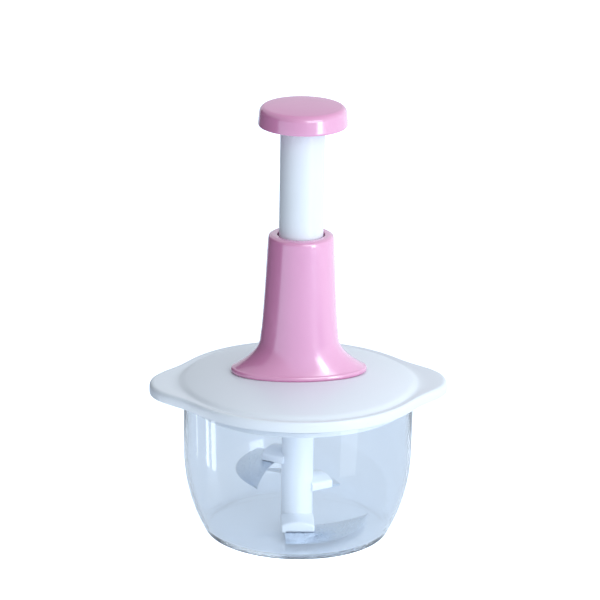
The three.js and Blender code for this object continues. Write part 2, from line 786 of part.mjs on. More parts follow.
// Ratchet ring: saw teeth above and four keys that slide in the hub's slots
function ratchetRing() {
  const flat = ratchetBottom + ratchetBody / 2;
  const teeth = toothedRing(toothInnerRadius, nutRadius, flat, toothRoot, toothTop);
  const body = solid(bar(ratchetRadius, ratchetBottom, toothRoot, tubeSteps));
  const keys = ratchetKeys(ratchetKeyWidth, ratchetKeyReach, ratchetBottom, toothRoot);
  const bore = solid(bar(ratchetBore, ratchetBottom - cutOverrun, toothTop + cutOverrun, smallSteps));
  return geometryOf(body.add(keys).add(teeth).subtract(bore));
}

function clutchSpring() {
  return coil(clutchSpringRadius, clutchSpringWire, cupFloorTop + seatGap, ratchetBottom - seatGap,
    clutchSpringCurls, clutchStepsPerCurl, wireSides);
}

function hexagon(across) {
  const corner = across / Math.sqrt(3);
  const shape = new THREE.Shape();
  for (let i = 0; i < 6; i += 1) {
    const angle = Math.PI * i / 3;
    if (i === 0) shape.moveTo(corner, 0);
    else shape.lineTo(corner * Math.cos(angle), corner * Math.sin(angle));
  }
  shape.closePath();
  return shape;
}

// Output hub: a cup with four key slots, a journal that runs in the cover and a hexagon for the blade shaft
function outputHub() {
  const cup = solid(turned([[0, hexTop], [hubJournalRadius, hexTop], [hubJournalRadius, hubFlangeBottom],
    [hubCupRadius, hubFlangeBottom], [hubCupRadius, toothRoot], [ratchetRadius + seatGap, toothRoot],
    [ratchetRadius + seatGap, cupFloorTop], [0, cupFloorTop]], tubeSteps));
  const hex = solid(prism(hexagon(hubHexAcross), hexBottom, hexTop + washerThickness, 1));
  const slots = ratchetKeys(ratchetKeyWidth + 2 * slideGap, ratchetKeyReach + slideGap,
    ratchetBottom - clutchTravel - slideGap, toothRoot + cutOverrun);
  const pocket = bar(ratchetRadius, cupFloorTop - cutOverrun, toothRoot + farOverrun, tubeSteps);
  const bore = solid(bar(ratchetBore, hexBottom - cutOverrun, toothRoot + cutOverrun, smallSteps));
  return geometryOf(cup.add(hex).subtract(slots.subtract(solid(pocket))).subtract(bore));
}

function thrustWasher() {
  return ring(hubJournalRadius + slideGap, hubCupRadius - slideGap, washerBottom,
    washerBottom + washerThickness, tubeSteps);
}

// Cover that closes the well, with a round hole for the hub's journal and a screw hole under each post
function hubCover() {
  const bore = hubJournalRadius + slideGap;
  let cover = solid(turned([[bore, coverBottom], [coverRadius - coverLipHeight, coverBottom],
    [coverRadius, coverBottom + coverLipHeight], [coverRadius, coverTop + coverLipHeight],
    [coverRadius - coverLipHeight, coverTop + coverLipHeight], [coverRadius - coverLipHeight, coverTop],
    [bore, coverTop], [bore, coverBottom]], tubeSteps));
  for (const [x, y] of coverScrewPlaces()) {
    const hole = bar(screwRadius + seatGap, coverBottom - cutOverrun, coverTop + cutOverrun, smallSteps);
    cover = cover.subtract(solid(hole.translate(x, y, 0)));
  }
  return geometryOf(cover);
}

function aroundAt(geometry, degrees) {
  return geometry.rotateZ(THREE.MathUtils.degToRad(degrees));
}

// One arm of the blade unit: a loaf-shaped section with a domed top, carried outwards from the shaft
function arm(height, azimuth, reach) {
  const half = armWidth / 2;
  const loaf = new THREE.Shape();
  loaf.moveTo(-half, -armFlank / 2);
  loaf.quadraticCurveTo(0, -2 * armKeel + armFlank / 2, half, -armFlank / 2);
  loaf.lineTo(half, armFlank / 2);
  loaf.quadraticCurveTo(0, 2 * armCrown - armFlank / 2, -half, armFlank / 2);
  loaf.closePath();
  const start = shaftRadius / 2;
  const beam = prism(loaf, start, reach, armCurveSteps);
  return aroundAt(layOutward(beam).translate(0, 0, height), azimuth);
}

// Recess in the underside of an arm that the blade's tang lies in
function tangRecess(height, azimuth, reach) {
  const low = height - armKeel - cutOverrun;
  const high = height - bladeDrop + bladeThickness / 2 + seatGap;
  const start = shaftRadius + 2 * seatGap;
  const length = reach + cutOverrun - start;
  const width = armWidth / 2 + cutOverrun + bladeBack + seatGap;
  const across = (armWidth / 2 + cutOverrun - bladeBack - seatGap) / 2;
  return solid(aroundAt(block(length, width, low, high, start + length / 2, across), azimuth));
}

// Peg under an arm that passes through the blade's hole, with a riveted head below the blade
function bladePeg(height, azimuth) {
  const headTop = height - armKeel - seatGap;
  const stem = solid(bar(bladePegRadius, headTop - bladePegHeadHeight / 2, height, smallSteps));
  const head = solid(bar(bladePegHeadRadius, headTop - bladePegHeadHeight, headTop, smallSteps));
  return stem.add(head).translate(bladePegPlace, 0, 0).rotate(0, 0, azimuth);
}

// Blade shaft: a hollow column with three arms, a hexagonal socket above and a blind bore for the pin
function bladeShaft() {
  let body = solid(bar(shaftRadius, shaftBottom, shaftTop, tubeSteps));
  for (const { height, azimuth, reach } of [upperArm, middleArm, lowerArm]) {
    body = body.add(solid(arm(height, azimuth, reach)));
    body = body.subtract(tangRecess(height, azimuth, reach)).add(bladePeg(height, azimuth));
  }
  const bore = bar(shaftBoreRadius, webTop, shaftTop + cutOverrun, smallSteps);
  const socket = prism(hexagon(hubHexAcross + 2 * seatGap), hexBottom - seatGap, shaftTop + cutOverrun, 1);
  const pinBore = bar(pinRadius + slideGap, shaftBottom - cutOverrun, webBottom, smallSteps);
  return geometryOf(body.subtract(solid(bore)).subtract(solid(socket)).subtract(solid(pinBore)));
}

// Sickle blade: a flat steel section, sharpened on both edges, carried from its tang to its tip between
// an outer and an inner edge curve
function blade({ height, azimuth, root, shoulder, bend, back, tip }) {
  const outerEdge = new THREE.QuadraticBezierCurve(new THREE.Vector2(root, -bladeBack),
    new THREE.Vector2(shoulder, bend), new THREE.Vector2(-back, tip));
  const innerEdge = new THREE.QuadraticBezierCurve(new THREE.Vector2(bladeTangStart, -bladeBack),
    new THREE.Vector2(bladeTangStart, bladeHollow), new THREE.Vector2(-back - bladeTipWidth, tip));
  const stationShares = [0, 0.12, 0.25, 0.38, 0.5, 0.62, 0.74, 0.86, 1];
  const thick = bladeThickness / 2;
  const middle = height - bladeDrop;
  const rings = stationShares.map((share) => {
    const outer = outerEdge.getPoint(share);
    const inner = innerEdge.getPoint(share);
    const width = outer.distanceTo(inner);
    const bevel = Math.min(bladeBevel, width / 3) / width;
    const flatOut = outer.clone().lerp(inner, bevel);
    const flatIn = inner.clone().lerp(outer, bevel);
    const section = [[outer, 0], [flatOut, thick], [flatIn, thick], [inner, 0], [flatIn, -thick],
      [flatOut, -thick]];
    return section.map(([{ x, y }, rise]) => [x, y, middle + rise]);
  });
  const body = solid(skin(rings, false));
  const hole = bar(bladePegRadius + seatGap, middle - cutOverrun, middle + cutOverrun, smallSteps);
  return aroundAt(geometryOf(body.subtract(solid(hole.translate(bladePegPlace, 0, 0)))), azimuth);
}

const finishes = {
  clear: { color: 0xc6d2ea, roughness: 0.05, metalness: 0, transparent: true, opacity: 0.35 },
  white: { color: 0xf2f4fa, roughness: 0.32, metalness: 0 },
  pink: { color: 0xf2a5cb, roughness: 0.22, metalness: 0 },
  steel: { color: 0xb9bcc4, roughness: 0.25, metalness: 1 },
  spring: { color: 0x9a9ca3, roughness: 0.35, metalness: 1 },
  inner: { color: 0xdfe3ea, roughness: 0.5, metalness: 0 },
  rubber: { color: 0xeef0f2, roughness: 0.7, metalness: 0 },
};

const chopper = new THREE.Group();

function place(name, geometry, finish, parent = chopper) {
  const shown = sealed(geometry).toNonIndexed();
  shown.computeVertexNormals();
  const mesh = new THREE.Mesh(shown, new THREE.MeshStandardMaterial(finishes[finish]));
  mesh.name = name;
  parent.add(mesh);
  return mesh;
}

place('bowl', bowl(), 'clear');
place('pivot_pin', pivotPin(), 'steel');
place('blade_shaft', bladeShaft(), 'white');
place('blade_upper', blade(upperArm), 'steel');
place('blade_middle', blade(middleArm), 'steel');
place('blade_lower', blade(lowerArm), 'steel');
place('lid', lid(), 'white');
place('lid_seal', lidSeal(), 'rubber');
place('hub_cover', hubCover(), 'white');
place('thrust_washer', thrustWasher(), 'steel');
place('output_hub', outputHub(), 'inner');
place('clutch_spring', clutchSpring(), 'spring');
place('ratchet_ring', ratchetRing(), 'inner');
place('drive_nut', driveNut(), 'inner');
place('spring_seat', springSeat(), 'steel');
place('return_spring', returnSpring(), 'spring');
place('bell_housing', bellHousing(), 'pink');
place('guide_bush', guideBush(), 'inner');
place('plunger_tube', plungerTube(), 'white');
place('strip_holder', stripHolder(), 'inner');
place('anchor_pin', anchorPin(), 'steel');
place('drive_strip', driveStrip(), 'steel');
place('knob', knob(), 'pink');
coverScrewPlaces().forEach(([x, y], i) => {
  const fastener = screw(coverBottom - seatGap - screwHeadHeight, coverScrewReach);
  place(`cover_screw_${i + 1}`, fastener.translate(x, y, 0), 'steel');
});
bellScrewPlaces().forEach(([x, y], i) => {
  const fastener = screw(lidPlateUnder - seatGap - screwHeadHeight, bellScrewReach);
  place(`bell_screw_${i + 1}`, fastener.translate(x, y, 0), 'steel');
});

export default chopper;
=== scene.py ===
"""A plunger food chopper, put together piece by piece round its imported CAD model.

Every surface is a grid of points P[row, column] in millimetres, worked out as whole arrays. Most are a
profile of radius r and height z carried round the Z axis through the angles a: P = (r cos a, r sin a, z).
Where a piece isn't round, r changes with a: the lid's rim adds its ears, the pink housing is an ellipse
with half axes that change with height, and the blade shaft's socket is a hexagon. The arms, the blades and
the springs are a section carried along a path. A piece is one or more such shells in one mesh, in the
place that its CAD node has. A profile is written as rows, and the last number of a row is its cut: how far
the rounding of that corner reaches along both of its sides.
"""

import bmesh
import bpy
import numpy as np
from mathutils import Matrix


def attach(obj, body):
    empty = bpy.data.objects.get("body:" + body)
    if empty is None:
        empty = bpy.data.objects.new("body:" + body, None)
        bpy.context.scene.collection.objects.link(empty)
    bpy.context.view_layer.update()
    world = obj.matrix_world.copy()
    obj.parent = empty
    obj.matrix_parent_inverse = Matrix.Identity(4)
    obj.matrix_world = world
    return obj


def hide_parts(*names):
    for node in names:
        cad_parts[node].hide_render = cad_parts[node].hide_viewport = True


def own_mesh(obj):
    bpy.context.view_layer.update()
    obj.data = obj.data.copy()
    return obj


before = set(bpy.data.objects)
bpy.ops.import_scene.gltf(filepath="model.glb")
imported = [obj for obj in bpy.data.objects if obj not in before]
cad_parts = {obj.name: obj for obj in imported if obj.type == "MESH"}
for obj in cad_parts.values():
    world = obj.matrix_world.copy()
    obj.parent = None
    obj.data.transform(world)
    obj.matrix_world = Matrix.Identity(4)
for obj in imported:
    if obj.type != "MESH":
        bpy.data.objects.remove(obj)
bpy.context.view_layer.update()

# Bowl
# The clear cup that the food lies in, moulded in one piece from a polished plastic with a faint blue tint.
# It stands on a flat ring round a shallow recess, and a boss in its floor holds the pivot pin.
MM = 0.001
bowl_height = 104
bowl_radius = 78.3
bowl_rim = 79.0
bowl_wall = 2.2
bowl_floor = 2.8
flank_top = 58
flank_bottom = 2.2
flank_radius = 116
flank_centre = bowl_radius - flank_radius
foot_radius = 62.4
foot_ring_inside = 57
recess_depth = 0.8
recess_flat_radius = 38
heel_out, heel_up = 1.0, 0.9
inner_heel_in, inner_heel_up = 1.0, 1.1
floor_corner = 3.6
boss_radius = 7
boss_height = 1.2
boss_foot = 1
pin_seat_radius = 4.7
pin_seat_floor = 1.8


def rounded(rows, looped=False, steps=5):
    """A profile with its corners rounded, from rows that end in a cut. Each corner Q gives way to the curve
    (1-t)^2 A + 2 t (1-t) Q + t^2 B, where A and B lie the cut's length before and behind Q, at most 0.45 of
    each side. The first two columns are lengths; a cut of 0 leaves its corner sharp."""
    rows = np.array(rows, float)
    corners, cuts = rows[:, :-1], rows[:, -1]
    if not looped:
        cuts[[0, -1]] = 0
    t = np.linspace(0, 1, steps)[:, None, None]

    def towards(other):
        side = np.linalg.norm((other - corners)[:, :2], axis=1)
        share = np.minimum(cuts / np.maximum(side, 1e-9), 0.45)
        return corners + (other - corners) * share[:, None]

    before, behind = towards(np.roll(corners, 1, 0)), towards(np.roll(corners, -1, 0))
    curve = (1 - t) ** 2 * before + 2 * t * (1 - t) * corners + t**2 * behind
    points = curve.transpose(1, 0, 2).reshape(-1, corners.shape[1])
    moved = np.abs(points - np.roll(points, 1, 0)).max(1) > 1e-6
    moved[0] = True
    return points[moved]


def arc(centre_r, centre_z, radius, first, last, count):
    """Rows (centre_r + radius cos g, centre_z + radius sin g, 0), for g from first to last in degrees."""
    g = np.radians(np.linspace(first, last, count))
    return np.stack([centre_r + radius * np.cos(g), centre_z + radius * np.sin(g), 0 * g], 1)


def turns(count):
    """Even angles once round the Z axis."""
    return np.linspace(0, 2 * np.pi, count, endpoint=False)


def turned(profile, count=96):
    """Grid of a profile (r, z) carried round Z: P = (r cos a, r sin a, z)."""
    a = turns(count)[None, :]
    r, z = np.asarray(profile, float).T[:, :, None]
    return np.stack([r * np.cos(a), r * np.sin(a), z + 0 * a], -1)


def shell(points, looped=False):
    """Corners and four-sided faces of a grid whose last column joins the first. Looped, its last row joins
    the first as well."""
    rows, columns = points.shape[:2]
    i = np.arange(rows if looped else rows - 1)[:, None]
    j = np.arange(columns)[None, :]
    above, beside = (i + 1) % rows, (j + 1) % columns
    faces = [i * columns + j, i * columns + beside, above * columns + beside, above * columns + j]
    return points.reshape(-1, 3), np.stack(faces, -1).reshape(-1, 4)


def round_shell(rows, count=96, looped=False, at=(0, 0, 0)):
    """Shell of a rounded profile carried round Z and moved to a place; a looped profile makes a ring."""
    return shell(turned(rounded(rows, looped), count) + np.array(at), looped)


def mesh_object(name, shells, sharp=38):
    """One object of several shells. Corners that meet become one, faces point outwards, and edges that bend
    by more than `sharp` degrees stay sharp."""
    corners, faces, first = [], [], 0
    for points, quads in shells:
        corners.append(points * MM)
        faces.append(quads + first)
        first += len(points)
    mesh = bpy.data.meshes.new(name)
    mesh.from_pydata(np.concatenate(corners).tolist(), [], np.concatenate(faces).tolist())
    work = bmesh.new()
    work.from_mesh(mesh)
    bmesh.ops.remove_doubles(work, verts=work.verts, dist=2e-7)
    bmesh.ops.dissolve_degenerate(work, edges=work.edges, dist=1e-8)
    bmesh.ops.recalc_face_normals(work, faces=work.faces)
    work.to_mesh(mesh)
    work.free()
    mesh.shade_smooth()
    mesh.set_sharp_from_angle(angle=np.radians(sharp))
    made = bpy.data.objects.new(name, mesh)
    bpy.context.scene.collection.objects.link(made)
    return made


def fit(made, finish, slot, body, *nodes):
    """Gives a piece its finish, lets it ride on its body and stand for its CAD nodes."""
    made.data.materials.clear()
    made.data.materials.append(finish.material)
    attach(made, body)
    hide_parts(*nodes)


class Amount:
    """A value that varies over a surface. Python's operators on it add Math nodes to its tree."""

    def __init__(self, nodes, socket):
        self.nodes = nodes
        self.socket = socket

    def maths(self, operation, other):
        return self.nodes.add("Math", {"operation": operation}, {0: self, 1: other})

    def __add__(self, other):
        return self.maths("ADD", other)

    def __mul__(self, other):
        return self.maths("MULTIPLY", other)

    def __pow__(self, other):
        return self.maths("POWER", other)

    __radd__ = __add__
    __rmul__ = __mul__


class Nodes:
    """The nodes of a finish or of the daylight."""

    def __init__(self, tree):
        self.tree = tree

    def feed(self, socket, value):
        """Links an amount to a socket, or sets the socket where the value is the same everywhere."""
        if isinstance(value, Amount):
            self.tree.links.new(value.socket, socket)
        else:
            socket.default_value = value

    def add(self, kind, settings, values, output=0):
        """Adds a node: its settings first, then a value or a link for each socket named or numbered."""
        node = self.tree.nodes.new("ShaderNode" + kind)
        for name, value in settings.items():
            setattr(node, name, value)
        for socket, value in values.items():
            self.feed(node.inputs[socket], value)
        return Amount(self, node.outputs[output])


class Finish(Nodes):
    """A material with one Principled shader. What is the same all over goes straight onto the shader's
    sockets, and what varies comes from patterns on Object coordinates."""

    def __init__(self, name, constants):
        self.material = bpy.data.materials.new(name)
        self.material.use_nodes = True
        super().__init__(self.material.node_tree)
        self.place = self.add("TexCoord", {}, {}, "Object")
        for socket, value in constants.items():
            self.send(socket, value)

    def send(self, socket, value):
        """Gives the shader's socket an amount, or a value that is the same all over."""
        self.feed(self.tree.nodes["Principled BSDF"].inputs[socket], value)

    def stretched(self, x, y, z):
        """Object coordinates times (x, y, z)."""
        return self.add("Mapping", {}, {"Vector": self.place, "Scale": (x, y, z)})

    def noise(self, scale, detail=2.0, where=None):
        """Soft noise from about 0 to 1, with `scale` cells to the metre."""
        return self.add("TexNoise", {}, {"Vector": where or self.place, "Scale": scale, "Detail": detail})

    def blend(self, share, first, second):
        """A colour between two: first where share is 0, second where it is 1. They are inputs 6 and 7."""
        return self.add("Mix", {"data_type": "RGBA"}, {0: share, 6: (*first, 1), 7: (*second, 1)}, 2)

    def bump(self, height, depth_mm, normal=None):
        """Raises the surface by height times a depth in millimetres, on top of another bump's normal."""
        values = {"Height": height, "Distance": depth_mm * MM, "Strength": 1.0}
        if normal is not None:
            values["Normal"] = normal
        return self.add("Bump", {}, values)


def between(share, low, high):
    """The value low where share is 0 and high where it is 1."""
    return low + share * (high - low)


def clear_plastic():
    """Clear, faintly blue and polished: upright ripples from the melt's flow, and a slight haze that comes
    and goes."""
    made = Finish("clear_blue_plastic", {"Transmission Weight": 1.0, "IOR": 1.062, "Coat Weight": 1.0,
                                         "Coat IOR": 1.55, "Coat Roughness": 0.07})
    ripple = made.noise(1.0, 1.0, made.stretched(70, 70, 7))
    haze = made.noise(30)
    made.send("Base Color", made.blend(haze, (0.90, 0.925, 0.955), (0.93, 0.95, 0.97)))
    made.send("Roughness", between(haze**2, 0.015, 0.05))
    made.send("Normal", made.bump(ripple, 0.09))
    return made


def bowl_rows():
    """From the middle of the underside out to the foot ring, up the flank's arc and the upright wall, over
    the rounded rim, and down inside to the floor, the boss and the pin's seat."""
    outer_low = np.degrees(np.arcsin((flank_top - flank_bottom) / flank_radius))
    inner_radius = flank_radius - bowl_wall
    inner_low = np.degrees(np.arcsin((flank_top - bowl_floor - floor_corner) / inner_radius))
    outer = arc(flank_centre, flank_top, flank_radius, -outer_low, 0, count=26)
    inner = arc(flank_centre, flank_top, inner_radius, 0, -inner_low, count=24)
    inner_edge = inner[-1, 0]
    boss_top = bowl_floor + boss_height
    below = [(0, recess_depth, 0), (recess_flat_radius, recess_depth, 2.5), (foot_ring_inside, 0, 2.5),
             (foot_radius, 0, 1.2), (foot_radius + heel_out, heel_up, 1.5)]
    rim = [(bowl_rim, bowl_height, 1.0), (bowl_rim - bowl_wall, bowl_height, 1.0)]
    floor = [(inner_edge - inner_heel_in, bowl_floor + inner_heel_up, 1.4),
             (inner_edge - floor_corner, bowl_floor, 1.4), (boss_radius + boss_foot, bowl_floor, 0.5),
             (boss_radius, boss_top, 0.3), (pin_seat_radius, boss_top, 0.2),
             (pin_seat_radius, pin_seat_floor, 0), (0, pin_seat_floor, 0)]
    return np.concatenate([below, outer, rim, inner, floor])


clear = clear_plastic()
bowl = mesh_object("bowl_cup", [round_shell(bowl_rows(), 144)])
fit(bowl, clear, "clear_plastic", "bowl", "bowl")
# Light passes through clear plastic, so the bowl keeps none from the blades that stand in it.
bowl.visible_shadow = False

# Pivot pin
# A turned pin of stainless steel with a domed tip. Its flange is pressed into the bowl's boss, and the
# blade shaft turns on it.
fit_gap = 0.3
pin_radius = 2.5
pin_top = 13.2
flange_radius = pin_seat_radius - fit_gap
flange_bottom = pin_seat_floor + fit_gap
flange_top = 3.4


def ground_steel(name, along=(1, 1, 1), colour=(0.62, 0.64, 0.68), rough=0.22, per_metre=900):
    """Stainless steel with fine grinding lines. There are `per_metre` times a share of them along each axis,
    so they are longest where that share is smallest."""
    made = Finish(name, {"Metallic": 1.0})
    lines = made.noise(1.0, 4.0, made.stretched(*(per_metre * share for share in along)))
    stain = made.noise(45)
    made.send("Base Color", made.blend(stain, colour, tuple(0.88 * part for part in colour)))
    made.send("Roughness", between(lines, rough - 0.06, rough + 0.12))
    made.send("Normal", made.bump(lines, 0.012))
    return made


pin_steel = ground_steel("turned_pin_steel", (0.2, 0.2, 3))
tip_bottom = pin_top - pin_radius
pin_rows = [(0, flange_bottom, 0), (flange_radius, flange_bottom, 0.3), (flange_radius, flange_top, 0.3),
            (pin_radius, flange_top, 0.3), (pin_radius, tip_bottom, 0),
            *arc(0, tip_bottom, pin_radius, 9, 90, count=9)]
pin = mesh_object("pivot_pin_turned", [round_shell(pin_rows, 48)])
fit(pin, pin_steel, "steel", "bowl", "pivot_pin")

# Blade shaft
# The white moulded column that stands on the pin, with one arm above the other on three sides. Each arm is
# loaf-shaped, and a riveted peg holds a blade's tang in a recess under it. A hexagonal socket in the
# column's top takes the drive.
shaft_radius = 11
shaft_bottom = 4.3
shaft_top = 91.3
shaft_bore = 5.6
shaft_web = 2.2
socket_across = 14.0
socket_depth = 9.3
arm_half_width = 11.5
arm_flank = 2.6
arm_crown = 5.4
arm_start = 5.5
arm_end_round = 1.6
recess_ceiling = 1.9
recess_lip = 2.9
recess_lip_inside = 9.3
peg_radius = 1.8
peg_head_radius = 3.1
peg_head_height = 0.8
peg_reach = 4.5
peg_place = (17.6, 0, 0)
# Height, azimuth and reach of each arm, with the blades at rest
arms = {"upper": (50, 147, 22.5), "middle": (31, 27, 22.5), "lower": (8.2, -93, 27.5)}


def moulded(name, deep, pale, rough, grain_mm=0.02, coat=0.0):
    """Opaque moulded plastic: the mould's fine grain, slow waves from shrinkage, a colour that clouds a
    little with the melt's flow, and rubbed spots that are glossier."""
    made = Finish(name, {"IOR": 1.5, "Coat Weight": coat, "Coat Roughness": 0.18, "Coat IOR": 2.4})
    cloud = made.noise(14, 3.0)
    grain = made.noise(1500)
    wave = made.noise(60, 1.0)
    rubbed = made.noise(90, 4.0)
    made.send("Base Color", made.blend(cloud, deep, pale))
    made.send("Roughness", between(rubbed, rough - 0.06, rough + 0.08))
    made.send("Normal", made.bump(grain, grain_mm, made.bump(wave, 0.12)))
    return made


def hexagon_radius(a, across):
    """From the middle to a hexagon's side at the angle a: across / 2 / cos(a mod 60 - 30), in degrees."""
    sixth = np.pi / 3
    return across / 2 / np.cos(np.mod(a, sixth) - sixth / 2)


def shaft_points():
    """Rows (r, z, h): the radius at the angle a is (1 - h) r + h times the hexagon's radius there."""
    hole_radius = pin_radius + fit_gap
    web_bottom = pin_top + fit_gap
    web_top = web_bottom + shaft_web
    socket_floor = shaft_top - socket_depth
    rows = [(0, web_bottom, 0, 0), (hole_radius, web_bottom, 0, 0.3), (hole_radius, shaft_bottom, 0, 0.4),
            (shaft_radius, shaft_bottom, 0, 1.0), (shaft_radius, shaft_top, 0, 0.8),
            (socket_across / 2, shaft_top, 1, 0.3), (socket_across / 2, socket_floor, 1, 0.2),
            (shaft_bore, socket_floor, 0, 0.3), (shaft_bore, web_top, 0, 0.5), (0, web_top, 0, 0)]
    r, z, h = rounded(rows).T[:, :, None]
    a = turns(96)[None, :]
    reach = (1 - h) * r + h * hexagon_radius(a, socket_across)
    return np.stack([reach * np.cos(a), reach * np.sin(a), z + 0 * a], -1)


def laid_round(points, degrees):
    """Points turned about Z."""
    g = np.radians(degrees)
    x, y, z = np.moveaxis(points, -1, 0)
    return np.stack([x * np.cos(g) - y * np.sin(g), x * np.sin(g) + y * np.cos(g), z], -1)


def capped(points):
    """The grid with its first and last rows closed towards their middles."""
    first = points[:1].mean(1, keepdims=True) + 0 * points[:1]
    last = points[-1:].mean(1, keepdims=True) + 0 * points[-1:]
    return np.concatenate([first, points, last])


def arm_points(height, azimuth, reach):
    """A loaf section (y, z) carried along X: its crown is a quadratic curve between flanks, and its
    underside is the recess for the blade, with a lip along one side. The end is rounded, because the
    section shrinks by e as it nears the reach: e = c (1 - cos g) at x = reach - c (1 - sin g)."""
    t = np.linspace(0, 1, 15)
    crown = arm_flank + 4 * t * (1 - t) * (arm_crown - arm_flank)
    top = np.stack([arm_half_width * (1 - 2 * t), crown, 0 * t], 1)
    top[[0, -1], 2] = 1.5
    under = [(-arm_half_width, -arm_flank, 0.8), (-recess_lip_inside, -recess_lip, 0.4),
             (-recess_lip_inside, -recess_ceiling, 0.3), (arm_half_width, -recess_ceiling, 0.8)]
    loop = rounded(np.concatenate([under, top]), True)
    g = np.linspace(0, np.pi / 2, 7)
    x = np.concatenate([[arm_start], reach - arm_end_round + arm_end_round * np.sin(g)])
    inset = np.concatenate([[0], arm_end_round * (1 - np.cos(g))])
    y = loop[None, :, 0] * (1 - inset[:, None] / arm_half_width)
    z = loop[None, :, 1] * (1 - inset[:, None] / arm_crown)
    return laid_round(capped(np.stack([x[:, None] + 0 * y, y, z + height], -1)), azimuth)


def peg_points(height, azimuth):
    """The peg under an arm: a stem with a flat riveted head below the blade."""
    low = height - peg_reach
    neck = low + peg_head_height
    rows = [(0, low, 0), (peg_head_radius, low, 0.35), (peg_head_radius, neck, 0.25),
            (peg_radius, neck, 0.1), (peg_radius, height, 0), (0, height, 0)]
    return laid_round(turned(rounded(rows), 28) + np.array(peg_place), azimuth)


white = moulded("white_moulded_plastic", (0.83, 0.865, 0.92), (0.87, 0.90, 0.95), 0.30)
shaft_shells = [shell(shaft_points())]
for height, azimuth, reach in arms.values():
    shaft_shells.append(shell(arm_points(height, azimuth, reach)))
    shaft_shells.append(shell(peg_points(height, azimuth)))
shaft = mesh_object("blade_shaft_column", shaft_shells)
fit(shaft, white, "white_plastic", "blades", "blade_shaft")

# Blades
# Three sickles stamped from stainless sheet and ground to an edge along both curves. Each tang lies in its
# arm's recess and has a hole for the peg.
half_sheet = 0.6
half_edge = 0.04
bevel_width = 2.4
blade_drop = 2.8
tang_start = 14
tang_side = -9
hollow = 26
tip_width = 0.8
hole_reach = 5
# Root, shoulder, bend, back and tip of each blade's outline, with its arm along X
blade_outlines = {
    "upper": (37, 44, 38, -0.5, 58.4),
    "middle": (30, 40, 28, 6, 46),
    "lower": (47, 50, 40, 9, 50.5),
}


def blade_points(name):
    """A flat section with two bevels, carried between two quadratic curves (1-t)^2 A + 2 t (1-t) B + t^2 C:
    the outer one over the shoulder to the tip, the inner one round the hollow to the same tip."""
    height, azimuth, _ = arms[name]
    root, shoulder, bend, back, tip = blade_outlines[name]
    t = np.linspace(0, 1, 64)[:, None]

    def curve(first, middle, last):
        return (1 - t) ** 2 * np.array(first) + 2 * t * (1 - t) * np.array(middle) + t**2 * np.array(last)

    outer = curve((root, tang_side), (shoulder, bend), (-back, tip))
    inner = curve((tang_start, tang_side), (tang_start, hollow), (-back - tip_width, tip))
    width = np.linalg.norm(outer - inner, axis=1, keepdims=True)
    bevel = np.minimum(bevel_width, width / 3) / width
    near, far = 0 * bevel, 1 + 0 * bevel
    upper_side = [(near, half_edge), (bevel, half_sheet), (1 - bevel, half_sheet), (far, half_edge)]
    lower_side = [(share, -rise) for share, rise in reversed(upper_side)]
    rows = [np.concatenate([outer + (inner - outer) * share, 0 * t + rise], 1)
            for share, rise in upper_side + lower_side]
    points = np.stack(rows, 1) + np.array([0, 0, height - blade_drop])
    return laid_round(capped(points), azimuth)


def cut_out(made, cutter, sharp=20):
    """Takes a cutter's solid out of a piece and removes the cutter."""
    step = made.modifiers.new("cut", "BOOLEAN")
    step.operation, step.solver, step.object = "DIFFERENCE", "EXACT", cutter
    bpy.context.view_layer.update()
    mesh = bpy.data.meshes.new_from_object(made.evaluated_get(bpy.context.evaluated_depsgraph_get()))
    made.modifiers.clear()
    made.data = mesh
    mesh.shade_smooth()
    mesh.set_sharp_from_angle(angle=np.radians(sharp))
    bpy.data.objects.remove(cutter)


def hole_points(height, azimuth):
    """A cutter for the peg's hole through a blade."""
    radius = peg_radius + fit_gap
    low = height - hole_reach
    rows = [(0, low), (radius, low), (radius, height), (0, height)]
    return laid_round(turned(rows, 28) + np.array(peg_place), azimuth)


blade_steel = ground_steel("ground_blade_steel", (1, 1, 4), (0.68, 0.75, 0.85), 0.26)
for name, (height, azimuth, _) in arms.items():
    blade = mesh_object(f"blade_{name}_sickle", [shell(blade_points(name))])
    cut_out(blade, mesh_object("hole", [shell(hole_points(height, azimuth))]))
    fit(blade, blade_steel, "steel", "blades", f"blade_{name}")

# Lid
# One white moulding: a domed plate that sinks to a soft valley inside its rounded rim, two ears to hold it
# by, a skirt outside the bowl's wall, a plug wall inside it, and a well under the middle for the drive.
lid_radius = 86.2
lid_top = 115
lid_bottom = 99.5
lid_wall = 2.4
dome_drop = 7.9
dome_power = 3.5
crease_radius = 82
band_height = lid_top - dome_drop
valley_radius, valley_depth = 80.7, 1.1
rim_radius, rim_drop = 83.2, 0.15
ear_length = 16.1
ear_spread = 18.3
ear_power = 2.5
skirt_wall = 2
seat_length = 47.3
seat_width = 26.2
seat_height = 113.8
seat_floor = 2
round_from = 66
plug_radius = 75.3
plug_wall = 2
plug_bottom = 92.5
plug_fillet = 64
groove_depth = 0.9
groove_bottom, groove_top = 95.6, 99.2
well_radius = 18.4
well_wall = 2
well_bottom = 94.5
journal_hole = 8.0


def ear_at(a):
    """How far the ears reach at the angle a: length exp(-(u / spread)^power), u degrees from the X axis."""
    turn = np.abs(np.degrees(np.arctan2(np.sin(a), np.cos(a))))
    return ear_length * np.exp(-(np.minimum(turn, 180 - turn) / ear_spread) ** ear_power)


def dome_at(r):
    """Height of the dome: its top less drop (r / crease radius)^power."""
    return lid_top - dome_drop * (np.minimum(r, crease_radius) / crease_radius) ** dome_power


